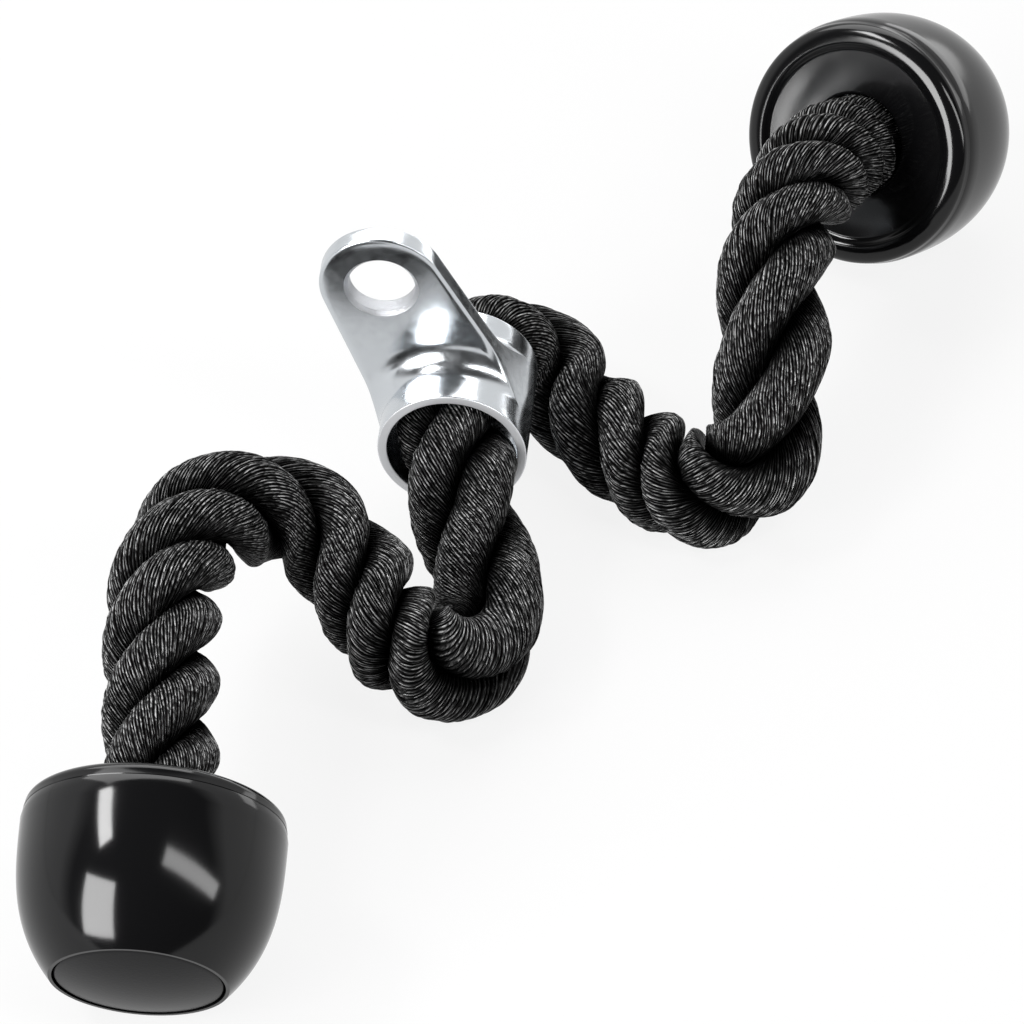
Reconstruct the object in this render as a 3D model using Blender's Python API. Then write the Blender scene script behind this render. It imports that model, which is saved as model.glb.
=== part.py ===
"""A triceps rope: one thick laid rope drawn through a steel hanging bracket, with a swivelling stop cap on
each end, lying on the floor. Metres, +Z up, origin on the floor below the middle of the whole part."""

import math

import bmesh
import bpy
import numpy as np
from mathutils import Matrix, Vector

# Rope
ROPE_DIAMETER = 0.028
NECKED_DIAMETER = 0.0254  # where a cap squeezes it
NECKING_LENGTH = 0.018  # run in front of a cap over which it narrows
TUBE_STEP = 0.0075  # between the rings of the rope's tubes
TUBE_END_RUN = 0.0035  # straight run at the end of every tube
TUBE_CORNERS = 3  # bevel resolution: 10 sides
BEND_SETBACK = 0.0025  # from the barrel's end to the run that bends when an arm swings
BEND_LENGTHS = {"left": 0.030, "right": 0.062}

# Running gap between pieces that touch
CLEARANCE = 0.0003

# Bracket: a barrel round the rope, with a flat lug that a carabiner hooks
BARREL_CENTRE = (-0.023, 0.0299, 0.032)
BARREL_LENGTH = 0.0335
BARREL_WALL = 0.0025
BARREL_ROOM = 0.003  # all round the rope
LUG_THICKNESS = 0.006
LUG_SHIFT = 0.0008  # of its middle plane along the barrel, away from the left cap
LUG_REACH = 0.047  # from the barrel's axis to the hole's axis
LUG_TIP_RADIUS = 0.0162
LUG_HOLE_DIAMETER = 0.0175
LUG_HOLE_CHAMFER = 0.0008
LUG_LEAN = math.radians(-24.5)
NECK_FILLET = 0.007  # hollow round where the lug grows out of the barrel
LUG_SINK = 0.0003  # of the lug's foot below the barrel's round

# Cap: a moulded bell, measured along its axis from the mouth
CAP_MOUTH_RADIUS = 0.03264
CAP_LIP_ROUND = 0.003
CAP_BELLY_RADIUS = 0.0333
CAP_BELLY_START = 0.0067
CAP_LENGTH = 0.0463
CAP_FOOT_RADIUS = 0.02246
CAP_BELLY_POWER = 3.14
CAP_FACE_RADIUS = 0.0262
CAP_FACE_DEPTH = 0.0013
CAP_FACE_WALL = 0.009
CAP_HOLE_ROOM = 0.0008
CAP_HOLE_ROUND = 0.001
CAVITY_ROOM = 0.0006  # round the washer
SEAT_EDGE = 0.0009  # flat ring round the plug
SEAT_DEPTH = 0.0062
PLUG_EDGE_ROUND = 0.0008
PLUG_DOME = 0.0031

# Stop inside each cap: a washer, and a ferrule crimped on the rope's end
WASHER_THICKNESS = 0.002
WASHER_RIM = 0.003  # beyond the ferrule
FERRULE_LENGTH = 0.016
FERRULE_WALL = 0.002
ROPE_STUB = 0.0022  # fused end beyond the ferrule

# How the caps lie: mouth centre, heading of the axis from mouth to foot, and its dip below level
CAPS = {
    "left": {"mouth": (-0.0828, -0.1295, 0.0405), "heading": math.radians(-89.8), "dip": math.radians(22.0)},
    "right": {"mouth": (0.0738, 0.1306, 0.0425), "heading": math.radians(62.0), "dip": math.radians(27.5)},
}

# The rope's centre line as it lies, from the left cap's mouth through the barrel to the right cap's mouth
ROPE_APPROACH = 0.002  # straight run in front of each mouth
ROPE_ROUTE = (
    (-0.0845, -0.1057, 0.0441),
    (-0.0865, -0.0881, 0.0475),
    (-0.0880, -0.0701, 0.0500),
    (-0.0875, -0.0531, 0.0495),
    (-0.0835, -0.0376, 0.0475),
    (-0.0755, -0.0256, 0.0440),
    (-0.0641, -0.0195, 0.0385),
    (-0.0530, -0.0214, 0.0330),
    (-0.0438, -0.0304, 0.0285),
    (-0.0356, -0.0429, 0.0260),
    (-0.0267, -0.0493, 0.0205),
    (-0.0160, -0.0470, 0.0159),
    (-0.0093, -0.0370, 0.0143),
    (-0.0096, -0.0251, 0.0153),
    (-0.0132, -0.0141, 0.0184),
    (-0.0166, -0.0041, 0.0232),
    (-0.0193, 0.0042, 0.0284),
    (-0.0215, 0.0149, 0.0314),
    (-0.0240, 0.0299, 0.0343),
    (-0.0215, 0.0429, 0.0333),
    (-0.0190, 0.0545, 0.0293),
    (-0.0134, 0.0614, 0.0250),
    (-0.0060, 0.0633, 0.0201),
    (0.0016, 0.0597, 0.0158),
    (0.0086, 0.0507, 0.0142),
    (0.0170, 0.0405, 0.0148),
    (0.0270, 0.0318, 0.0142),
    (0.0374, 0.0246, 0.0146),
    (0.0479, 0.0243, 0.0170),
    (0.0555, 0.0304, 0.0215),
    (0.0580, 0.0424, 0.0275),
    (0.0575, 0.0559, 0.0345),
    (0.0565, 0.0694, 0.0405),
    (0.0570, 0.0829, 0.0465),
    (0.0595, 0.0954, 0.0505),
    (0.0643, 0.1080, 0.0518),
)
SPLINE_STEPS = 40  # between two points of the route

# Facets
TURNED_STEPS = 48
BARREL_STEPS = 64
ARC_STEPS = 5
BELLY_STEPS = 8
DOME_STEPS = 6

# Overrun of every cutter past the faces it cuts
CUTTER_OVERRUN = 0.002

# Sizes that follow
ROPE_RADIUS = ROPE_DIAMETER / 2
NECKED_RADIUS = NECKED_DIAMETER / 2
BORE_RADIUS = ROPE_RADIUS + BARREL_ROOM
BARREL_RADIUS = BORE_RADIUS + BARREL_WALL
CAP_HOLE_RADIUS = NECKED_RADIUS + CAP_HOLE_ROOM
FERRULE_RADIUS = NECKED_RADIUS + CLEARANCE + FERRULE_WALL
WASHER_RADIUS = FERRULE_RADIUS + WASHER_RIM
CAVITY_RADIUS = WASHER_RADIUS + CAVITY_ROOM
SEAT_RADIUS = CAP_FOOT_RADIUS - SEAT_EDGE
PLUG_RADIUS = SEAT_RADIUS - CLEARANCE
CAVITY_START = CAP_FACE_DEPTH + CAP_FACE_WALL
WASHER_START = CAVITY_START + CLEARANCE
FERRULE_START = WASHER_START + WASHER_THICKNESS + CLEARANCE
ROPE_DEPTH = FERRULE_START + FERRULE_LENGTH + ROPE_STUB
SEAT_START = CAP_LENGTH - SEAT_DEPTH


def clear_scene():
    """Removes what a new file holds."""
    for thing in list(bpy.data.objects):
        bpy.data.objects.remove(thing)


def add_object(name, data):
    """Puts mesh or curve data into the scene."""
    thing = bpy.data.objects.new(name, data)
    bpy.context.collection.objects.link(thing)
    return thing


def give_finish(thing, colour, roughness, metallic):
    """Gives an object its own material."""
    finish = bpy.data.materials.new(thing.name + "_finish")
    finish.use_nodes = True
    shader = finish.node_tree.nodes["Principled BSDF"]
    shader.inputs["Base Color"].default_value = (*colour, 1)
    shader.inputs["Roughness"].default_value = roughness
    shader.inputs["Metallic"].default_value = metallic
    thing.data.materials.append(finish)


def mesh_from(bm, name):
    """Turns a bmesh into a closed mesh with its faces pointing out, smooth but for its sharp edges."""
    bmesh.ops.recalc_face_normals(bm, faces=bm.faces)
    mesh = bpy.data.meshes.new(name)
    bm.to_mesh(mesh)
    bm.free()
    mesh.shade_smooth()
    mesh.set_sharp_from_angle(angle=math.radians(35))
    return mesh


def turned_mesh(name, profile, steps=TURNED_STEPS):
    """Turns (radius, height) points round +Z. The profile is a loop, unless it starts and ends at radius 0."""
    bm = bmesh.new()
    verts = [bm.verts.new((radius, 0, height)) for radius, height in profile]
    pairs = list(zip(verts, verts[1:]))
    if profile[0][0] > 0:
        pairs.append((verts[-1], verts[0]))
    edges = [bm.edges.new(pair) for pair in pairs]
    bmesh.ops.spin(
        bm, geom=verts + edges, cent=(0, 0, 0), axis=(0, 0, 1), angle=math.tau, steps=steps, use_merge=True
    )
    bmesh.ops.remove_doubles(bm, verts=bm.verts, dist=CLEARANCE / 100)
    return mesh_from(bm, name)


def arc(centre, radius, first, last, steps=ARC_STEPS):
    """Points of an arc round centre, between two angles in degrees."""
    angles = np.radians(np.linspace(first, last, steps + 1))
    return [(centre[0] + radius * math.cos(a), centre[1] + radius * math.sin(a)) for a in angles]


def smooth_route(points):
    """A natural cubic curve through the points, read at SPLINE_STEPS places between each two of them."""
    points = np.array(points)
    runs = np.sqrt(np.linalg.norm(np.diff(points, axis=0), axis=1))
    count = len(points)
    system = np.eye(count)
    rates = np.zeros((count, 3))
    for i in range(1, count - 1):
        before, after = runs[i - 1], runs[i]
        system[i, i - 1:i + 2] = before, 2 * (before + after), after
        rates[i] = 6 * ((points[i + 1] - points[i]) / after - (points[i] - points[i - 1]) / before)
    bends = np.linalg.solve(system, rates)
    curve = [points[0]]
    for i, run in enumerate(runs):
        for step in range(1, SPLINE_STEPS + 1):
            done = run * step / SPLINE_STEPS
            left = run - done
            pull = (bends[i] * left ** 3 + bends[i + 1] * done ** 3) / (6 * run)
            start = (points[i] / run - bends[i] * run / 6) * left
            end = (points[i + 1] / run - bends[i + 1] * run / 6) * done
            curve.append(pull + start + end)
    return np.array(curve)


def cap_matrix(side):
    """Places +Z on the cap's axis from mouth to foot, with the origin in the middle of the mouth."""
    lie = CAPS[side]
    turn = Matrix.Rotation(lie["heading"], 4, "Z") @ Matrix.Rotation(math.pi / 2 + lie["dip"], 4, "Y")
    return Matrix.Translation(lie["mouth"]) @ turn


def on_cap_axis(side, depth):
    """The point on a cap's axis at a depth below its mouth."""
    return tuple(cap_matrix(side) @ Vector((0, 0, depth)))


def whole_route():
    """The rope's centre line from end to end, and the length run at each of its points, zero in the barrel."""
    depths = (ROPE_DEPTH, ROPE_DEPTH / 2, -ROPE_APPROACH)
    left = [on_cap_axis("left", depth) for depth in depths]
    right = [on_cap_axis("right", depth) for depth in reversed(depths)]
    curve = smooth_route([*left, *ROPE_ROUTE, *right])
    lengths = np.concatenate([[0], np.cumsum(np.linalg.norm(np.diff(curve, axis=0), axis=1))])
    middle = np.argmin(np.linalg.norm(curve - np.array(BARREL_CENTRE), axis=1))
    return curve, lengths - lengths[middle]


def tube_points(curve, lengths, first, last):
    """Centre points of a tube between two lengths, and the length at each. Both ends run straight, square to
    the rope in the middle of the gap to the next tube, so that neighbouring tubes meet face to face."""

    def at(length):
        return np.array([np.interp(length, lengths, curve[:, axis]) for axis in range(3)])

    def heading(length):
        ahead = at(length + CLEARANCE) - at(length - CLEARANCE)
        return ahead / np.linalg.norm(ahead)

    inner_first = first + TUBE_END_RUN
    inner_last = last - TUBE_END_RUN
    count = max(2, math.ceil((inner_last - inner_first) / TUBE_STEP) + 1)
    places = np.linspace(inner_first, inner_last, count)
    points = [at(place) for place in places]
    points[0] = at(first) + heading(first - CLEARANCE / 2) * TUBE_END_RUN
    points[-1] = at(last) - heading(last + CLEARANCE / 2) * TUBE_END_RUN
    return [at(first), *points, at(last)], [first, *places, last]


def build_rope():
    """The rope as tubes end to end: the stretch in the barrel, two that bend, and the two arms."""
    curve, lengths = whole_route()
    start, end = lengths[0], lengths[-1]
    inner = BARREL_LENGTH / 2 + BEND_SETBACK
    left_end = -inner - BEND_LENGTHS["left"]
    right_end = inner + BEND_LENGTHS["right"]
    stretches = {
        "left_rope_arm": (start, left_end - CLEARANCE),
        "left_rope_bend": (left_end, -inner - CLEARANCE),
        "rope_middle": (-inner, inner),
        "right_rope_bend": (inner + CLEARANCE, right_end),
        "right_rope_arm": (right_end + CLEARANCE, end),
    }
    pivots = {"left_rope_arm": (left_end - inner) / 2, "right_rope_arm": (right_end + inner) / 2}

    def radius_at(length):
        to_mouth = min(length - start, end - length) - ROPE_DEPTH
        share = min(max(to_mouth / NECKING_LENGTH, 0), 1)
        return NECKED_RADIUS + (ROPE_RADIUS - NECKED_RADIUS) * math.sin(share * math.pi / 2)

    for name, (first, last) in stretches.items():
        pivot = pivots.get(name, 0)
        origin = Vector([np.interp(pivot, lengths, curve[:, axis]) for axis in range(3)])
        points, places = tube_points(curve, lengths, first, last)
        data = bpy.data.curves.new(name, "CURVE")
        data.dimensions = "3D"
        data.bevel_depth = ROPE_RADIUS
        data.bevel_resolution = TUBE_CORNERS
        data.use_fill_caps = True
        line = data.splines.new("POLY")
        line.points.add(len(points) - 1)
        for knot, point, place in zip(line.points, points, places):
            knot.co = (*(Vector(point) - origin), 1)
            knot.radius = radius_at(place) / ROPE_RADIUS
        tube = add_object(name, data)
        tube.location = origin
        give_finish(tube, (0.02, 0.02, 0.022), 0.55, 0)


def lug_outline(root_radius):
    """The lug's outline round the barrel's axis: two circles and the straight sides that touch both."""
    lean = math.asin((root_radius - LUG_TIP_RADIUS) / LUG_REACH)
    side = math.degrees(lean)
    tip = arc((0, LUG_REACH), LUG_TIP_RADIUS, side, 180 - side, BARREL_STEPS // 2)
    root = arc((0, 0), root_radius, 180 - side, 360 + side, BARREL_STEPS // 2)
    return tip + root


def extruded_mesh(name, outline, half):
    """An outline in the XZ plane, extruded to both sides along Y."""
    bm = bmesh.new()
    face = bm.faces.new([bm.verts.new((x, -half, z)) for x, z in outline])
    grown = bmesh.ops.extrude_face_region(bm, geom=[face])
    moved = [part for part in grown["geom"] if isinstance(part, bmesh.types.BMVert)]
    bmesh.ops.translate(bm, verts=moved, vec=(0, 2 * half, 0))
    return mesh_from(bm, name)


def add_shaper(name, mesh, parent):
    """A helper solid, left out of the part."""
    shaper = add_object(name, mesh)
    shaper.parent = parent
    shaper.hide_render = True
    shaper.display_type = "WIRE"
    return shaper


def add_boolean(thing, operation, other):
    """Joins, cuts or trims an object with another one."""
    step = thing.modifiers.new(operation.lower() + "_" + other.name, "BOOLEAN")
    step.operation = operation
    step.solver = "EXACT"
    step.object = other


def build_bracket():
    """A barrel with a flat lug that grows out of it through hollow rounds, and the lug's hole."""
    lying = Matrix.Rotation(math.pi / 2, 4, "X")
    half = BARREL_LENGTH / 2
    mesh = turned_mesh("bracket", [(0, -half), (BARREL_RADIUS, -half), (BARREL_RADIUS, half), (0, half)], BARREL_STEPS)
    mesh.transform(lying)
    bracket = add_object("bracket", mesh)
    bracket.matrix_world = Matrix.Translation(BARREL_CENTRE) @ Matrix.Rotation(LUG_LEAN, 4, "Y")

    neck_half = LUG_THICKNESS / 2 + NECK_FILLET
    neck_foot = BARREL_RADIUS - LUG_SINK
    disc_radius = LUG_REACH + LUG_TIP_RADIUS + CUTTER_OVERRUN
    upper = arc((neck_foot + NECK_FILLET, neck_half), NECK_FILLET, 180, 270)
    upper.append((disc_radius, LUG_THICKNESS / 2))
    lower = [(radius, -height) for radius, height in reversed(upper)]
    core_radius = BORE_RADIUS + BARREL_WALL / 2
    lug_mesh = turned_mesh("lug", [(core_radius, -neck_half), (core_radius, neck_half), *upper, *lower], BARREL_STEPS)
    lug_mesh.transform(lying)
    lug_mesh.transform(Matrix.Translation((0, LUG_SHIFT, 0)))
    lug = add_shaper("lug", lug_mesh, bracket)
    trim = add_shaper("lug_trim", extruded_mesh("lug_trim", lug_outline(neck_foot), half), bracket)
    add_boolean(lug, "INTERSECT", trim)

    bore_half = half + CUTTER_OVERRUN
    bore_profile = [(0, -bore_half), (BORE_RADIUS, -bore_half), (BORE_RADIUS, bore_half), (0, bore_half)]
    bore_mesh = turned_mesh("bore", bore_profile, BARREL_STEPS)
    bore_mesh.transform(lying)
    bore = add_shaper("bore", bore_mesh, bracket)

    hole_radius = LUG_HOLE_DIAMETER / 2
    face = LUG_THICKNESS / 2
    overrun = face + CUTTER_OVERRUN
    flare = hole_radius + LUG_HOLE_CHAMFER + CUTTER_OVERRUN
    above = [(hole_radius, face - LUG_HOLE_CHAMFER), (flare, overrun), (0, overrun)]
    below = [(radius, -height) for radius, height in reversed(above)]
    hole_mesh = turned_mesh("lug_hole", below + above)
    hole_mesh.transform(lying)
    hole_mesh.transform(Matrix.Translation((0, LUG_SHIFT, LUG_REACH)))
    hole = add_shaper("lug_hole", hole_mesh, bracket)

    add_boolean(bracket, "UNION", lug)
    add_boolean(bracket, "DIFFERENCE", bore)
    add_boolean(bracket, "DIFFERENCE", hole)
    give_finish(bracket, (0.75, 0.76, 0.78), 0.12, 1)


def cap_profile():
    """The moulded bell: dished face with the rope's hole, rounded lip, belly, seat for the plug and cavity."""
    crest = CAP_MOUTH_RADIUS - CAP_LIP_ROUND
    hole_edge = (CAP_HOLE_RADIUS + CAP_HOLE_ROUND, CAP_FACE_DEPTH + CAP_HOLE_ROUND)
    hole_round = arc(hole_edge, CAP_HOLE_ROUND, 180, 270, 2)
    dish = []
    for share in np.linspace(0, 1, ARC_STEPS):
        rise = (1 + math.cos(math.pi * share)) / 2
        dish.append((CAP_FACE_RADIUS + (crest - CAP_FACE_RADIUS) * share, CAP_FACE_DEPTH * rise))
    lip = arc((crest, CAP_LIP_ROUND), CAP_LIP_ROUND, -90, 0)[1:]
    belly = []
    for share in np.linspace(0, 1, BELLY_STEPS + 1) ** (1 / 2):
        radius = CAP_BELLY_RADIUS - (CAP_BELLY_RADIUS - CAP_FOOT_RADIUS) * share ** CAP_BELLY_POWER
        belly.append((radius, CAP_BELLY_START + (CAP_LENGTH - CAP_BELLY_START) * share))
    inside = [
        (SEAT_RADIUS, CAP_LENGTH),
        (SEAT_RADIUS, SEAT_START),
        (CAVITY_RADIUS, SEAT_START),
        (CAVITY_RADIUS, CAVITY_START),
        (CAP_HOLE_RADIUS, CAVITY_START),
    ]
    return [*hole_round, *dish, *lip, *belly, *inside]


def plug_profile():
    """The disc that closes the cap, with a rounded edge and a shallow dome."""
    start = SEAT_START + CLEARANCE
    edge = arc((PLUG_RADIUS - PLUG_EDGE_ROUND, CAP_LENGTH - PLUG_EDGE_ROUND), PLUG_EDGE_ROUND, 0, 60, 2)
    rim_radius, rim_height = edge[-1]
    crown = CAP_LENGTH + PLUG_DOME
    dome = []
    for share in np.linspace(1, 0, DOME_STEPS + 1)[1:]:
        dome.append((rim_radius * share, rim_height + (crown - rim_height) * (1 - share ** 2)))
    return [(0, start), (PLUG_RADIUS, start), *edge, *dome]


def ring_profile(inner, outer, start, height):
    """A plain ring's section."""
    return [(inner, start), (outer, start), (outer, start + height), (inner, start + height)]


def build_caps():
    """Both caps, each with its plug, washer and ferrule, on an empty that stands on the cap's swivel axis."""
    stop_bore = NECKED_RADIUS + CLEARANCE
    meshes = {
        "cap_shell": turned_mesh("cap_shell", cap_profile()),
        "cap_plug": turned_mesh("cap_plug", plug_profile()),
        "stop_washer": turned_mesh(
            "stop_washer", ring_profile(stop_bore, WASHER_RADIUS, WASHER_START, WASHER_THICKNESS), TURNED_STEPS // 2
        ),
        "ferrule": turned_mesh(
            "ferrule", ring_profile(stop_bore, FERRULE_RADIUS, FERRULE_START, FERRULE_LENGTH), TURNED_STEPS // 2
        ),
    }
    finishes = {
        "cap_shell": ((0.012, 0.012, 0.013), 0.12, 0),
        "cap_plug": ((0.03, 0.03, 0.032), 0.35, 0),
        "stop_washer": ((0.6, 0.6, 0.62), 0.3, 1),
        "ferrule": ((0.6, 0.6, 0.62), 0.3, 1),
    }
    for side in CAPS:
        axis = add_object(side + "_cap_axis", None)
        axis.matrix_world = cap_matrix(side)
        for piece, mesh in meshes.items():
            thing = add_object(side + "_" + piece, mesh.copy())
            thing.parent = axis
            give_finish(thing, *finishes[piece])


clear_scene()
build_rope()
build_bracket()
build_caps()
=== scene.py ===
import math
from functools import cache

import bpy
import numpy as np
from mathutils import Matrix, Vector


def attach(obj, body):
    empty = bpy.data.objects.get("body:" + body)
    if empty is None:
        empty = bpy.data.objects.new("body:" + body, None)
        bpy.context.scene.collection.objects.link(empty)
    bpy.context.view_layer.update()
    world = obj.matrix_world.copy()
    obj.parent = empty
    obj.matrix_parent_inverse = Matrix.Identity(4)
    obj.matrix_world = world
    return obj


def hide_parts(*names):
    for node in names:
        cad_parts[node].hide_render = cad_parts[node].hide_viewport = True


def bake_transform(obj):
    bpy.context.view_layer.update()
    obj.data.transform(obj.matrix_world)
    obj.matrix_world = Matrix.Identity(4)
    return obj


# Camera: where the picture was taken from
CAMERA_AIM = (-0.023, 0.0299, 0.032)  # the barrel's centre
CAMERA_DISTANCE = 2.24
CAMERA_ELEVATION = math.radians(44)
CAMERA_TURN = math.radians(5.14)
CAMERA_OFFSET = (-0.006295, 0.012123)  # of the aim from the picture's centre, per metre of distance
CAMERA_SENSOR = 0.036
CAMERA_FIELD = 8.37793  # focal length in picture widths
MILLIMETRES = 1000

# The rope's centre line, as the source has it
ROPE_ROUTE = (
    (-0.0845, -0.1057, 0.0441),
    (-0.0865, -0.0881, 0.0475),
    (-0.0880, -0.0701, 0.0500),
    (-0.0875, -0.0531, 0.0495),
    (-0.0835, -0.0376, 0.0475),
    (-0.0755, -0.0256, 0.0440),
    (-0.0641, -0.0195, 0.0385),
    (-0.0530, -0.0214, 0.0330),
    (-0.0438, -0.0304, 0.0285),
    (-0.0356, -0.0429, 0.0260),
    (-0.0267, -0.0493, 0.0205),
    (-0.0160, -0.0470, 0.0159),
    (-0.0093, -0.0370, 0.0143),
    (-0.0096, -0.0251, 0.0153),
    (-0.0132, -0.0141, 0.0184),
    (-0.0166, -0.0041, 0.0232),
    (-0.0193, 0.0042, 0.0284),
    (-0.0215, 0.0149, 0.0314),
    (-0.0240, 0.0299, 0.0343),
    (-0.0215, 0.0429, 0.0333),
    (-0.0190, 0.0545, 0.0293),
    (-0.0134, 0.0614, 0.0250),
    (-0.0060, 0.0633, 0.0201),
    (0.0016, 0.0597, 0.0158),
    (0.0086, 0.0507, 0.0142),
    (0.0170, 0.0405, 0.0148),
    (0.0270, 0.0318, 0.0142),
    (0.0374, 0.0246, 0.0146),
    (0.0479, 0.0243, 0.0170),
    (0.0555, 0.0304, 0.0215),
    (0.0580, 0.0424, 0.0275),
    (0.0575, 0.0559, 0.0345),
    (0.0565, 0.0694, 0.0405),
    (0.0570, 0.0829, 0.0465),
    (0.0595, 0.0954, 0.0505),
    (0.0643, 0.1080, 0.0518),
)
CAPS = {
    "left": {"mouth": (-0.0828, -0.1295, 0.0405), "heading": math.radians(-89.8), "dip": math.radians(22.0)},
    "right": {"mouth": (0.0738, 0.1306, 0.0425), "heading": math.radians(62.0), "dip": math.radians(27.5)},
}
BARREL_CENTRE = (-0.023, 0.0299, 0.032)
ROPE_DEPTH = 0.0311
ROPE_APPROACH = 0.002
SPLINE_STEPS = 40
NECK_SHARE = 0.89
NECKING_LENGTH = 0.018

# Strands and their yarns
STRANDS = 3
STRAND_OFFSET = 0.0066
STRAND_RADIUS = 0.0083
STRAND_GAP = 0.00005
STRAND_ROUNDNESS = 6  # power of the blend between its round and its flats
YARNS = 64
YARN_SIDES = 4
YARN_HEIGHT = 0.0005
YARN_WANDER = 0.00014
YARN_SWAY = 0.22  # of a yarn's width
WANDER_RUN = 0.006
RIDGE_POWER = 0.7  # below 1, it flattens a yarn's crown
RING_STEP = 0.0012
READINGS = 4  # of the lay within a ring's step
RING_TWIST = 0.10  # most that a yarn turns between two rings, in radians
END_ROUND = 0.0012
END_LEAST = 0.3  # of the girth, squared, at the rope's very end
ROPE_CREASE_ANGLE = 60  # degrees at which its edges count as sharp
PLY_PITCH = 3.2  # length of a ply's turn in a yarn, in millimetres
PLY_SLANT = 0.5  # turns that a ply's glint, a highlight painted into the yarn's colour, runs on across a yarn
PLY_UNEVEN = 3.0  # turns by which the plies are out of step
SQUASH_GAP = 0.0002  # between the rope and what presses it flat
SEEDS = {"left": 17, "right": 7}  # of the random draws for a side's first strand

# The lay: turn of the strands, in radians, at lengths along the rope from the barrel's middle
LAY_TURNS = (
    (-0.3053, -5.1),
    (-0.2644, -0.96),
    (-0.2407, 1.09),
    (-0.2209, 3.22),
    (-0.1970, 5.54),
    (-0.1654, 8.32),
    (-0.1391, 10.72),
    (-0.1162, 12.73),
    (-0.1037, 14.86),
    (-0.0946, 16.98),
    (-0.0860, 17.42),
    (-0.0570, 17.76),
    (-0.0255, 19.88),
    (0.0565, 27.72),
    (0.0793, 29.94),
    (0.0962, 32.07),
    (0.1076, 34.37),
    (0.1229, 36.55),
    (0.1538, 38.43),
    (0.1846, 40.59),
    (0.2040, 42.85),
    (0.2150, 44.9),
    (0.2260, 47.0),
    (0.2380, 49.2),
    (0.2710, 54.4),
)
LAY_EASING = 0.007
EASING_STEPS = 20
BEND_ROOM = 0.84  # most that the rope reaches towards the centre of a bend, as a share of the bend's radius
BEND_EASE = 0.6  # share of the radius from which it is held back
CROWDED = 0.2  # least share of the yarns' relief left there

# How far the strands stand apart where the rope is pushed open, at lengths along the rope
OPENINGS = (
    (-0.1900, 0),
    (-0.1800, 0.0012),
    (-0.1700, 0.0012),
    (-0.1580, 0.0005),
    (-0.1480, 0),
    (-0.1010, 0),
    (-0.0910, 0.0006),
    (-0.0755, 0.0010),
    (-0.0530, 0.0002),
    (-0.0350, 0),
    (0.1020, 0.0002),
    (0.1100, 0.0016),
    (0.1200, 0.0022),
    (0.1270, 0.0014),
    (0.1350, 0.0005),
    (0.1500, 0.0010),
    (0.1600, 0.0007),
    (0.1790, 0.0002),
    (0.1920, 0),
)
OPENING_THINNING = 0.1  # of the strands, as a share of the opening
OPENING_SLOT = 0.1  # gap left beside a strand, as a share of the opening

# The yarns' slope off the rope's line on a strand's outer side, in degrees, at lengths along the rope
YARN_SLOPES = (
    (-0.3053, -8),
    (-0.2350, -6),
    (-0.2250, 6),
    (-0.2120, 18),
    (-0.1950, 18),
    (-0.1800, 9),
    (-0.1680, 2),
    (-0.1560, 14),
    (-0.1400, 8),
    (-0.1220, 4),
    (-0.1120, 6),
    (-0.1050, 0),
    (-0.1000, -20),
    (-0.0950, -62),
    (-0.0900, -76),
    (-0.0820, -78),
    (-0.0760, -66),
    (-0.0700, -42),
    (-0.0620, -20),
    (-0.0350, -22),
    (-0.0280, -24),
    (0, -15),
    (0.0350, 5),
    (0.0620, 10),
    (0.0800, 18),
    (0.1000, 18),
    (0.1080, -2),
    (0.1135, -30),
    (0.1200, -28),
    (0.1320, -26),
    (0.1400, -6),
    (0.1500, 4),
    (0.1750, 4),
    (0.1850, -4),
    (0.1950, 6),
    (0.2050, 10),
    (0.2710, 8),
)

# Bracket
BORE_RADIUS = 0.017
BARREL_RADIUS = 0.0195
BARREL_HALF = 0.01675
RING_EDGE = 0.0004
RING_FACING = 0.6  # how squarely a face looks along the barrel where it counts as the ring's
LUG_HALF = 0.003
LUG_SHIFT = 0.0008  # of its middle along the barrel
LUG_REACH = 0.047
LUG_TIP_RADIUS = 0.0162
LUG_FACE_ROUND = 0.0045
LUG_SIDE_ROUND = 0.0008
LUG_LEAN = math.radians(-24.5)
NECK_FILLET = 0.007
HOLE_RADIUS = 0.00875
HOLE_CHAMFER = 0.001
MIRROR_TILT = math.radians(3.5)  # of the mirror images about the X axis, for the plating's uneven polish
LUG_TAPER = math.asin((BARREL_RADIUS - LUG_TIP_RADIUS) / LUG_REACH)  # of each of its sides
FACE_ROUND_SHARE = 0.4  # most that the roundings take of the lug's height over the barrel
SIDE_ROUND_SHARE = 0.2
HOLE_OVERRUN = 0.002  # of the cutter past the lug's faces
BRACKET_STEP = 2  # degrees between its sections
TIP_SECTIONS = 61
RING_EDGE_STEPS = 4
FILLET_POINTS = 25
LUG_EDGE_STEPS = 8
HOLE_STEPS = 128
SIDE_SECTIONS = np.arange(20, 88, 1.0)  # degrees from the lug's own direction
CREASE_ANGLE = 40  # degrees at which its edges count as sharp

# Caps
CAP_MOUTH_RADIUS = 0.03264
CAP_LIP_ROUND = 0.003
CAP_LIP_WIDTH = 0.0046
CAP_BELLY_RADIUS = 0.0333
CAP_BELLY_START = 0.0067
CAP_LENGTH = 0.0463
CAP_FOOT_RADIUS = 0.02246
CAP_BELLY_POWER = 3.14
CAP_FACE_RADIUS = 0.0252
CAP_FACE_DEPTH = 0.0013
CAP_HOLE_RADIUS = 0.0135
CAP_HOLE_ROUND = 0.001
CAP_WALL_START = 0.0103
CAVITY_RADIUS = 0.0186
SEAT_EDGE = 0.0009
SEAT_DEPTH = 0.0062
PARTING_HEIGHT = 0.0044
PARTING_DEPTH = 0.0001
PARTING_WIDTH = 0.0004
PLUG_GAP = 0.00035
PLUG_EDGE_ROUND = 0.0012
PLUG_EDGE_END = 60  # degrees that its rounding turns before the dome
PLUG_DOME = 0.0031
TURNED_STEPS = 192
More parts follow.
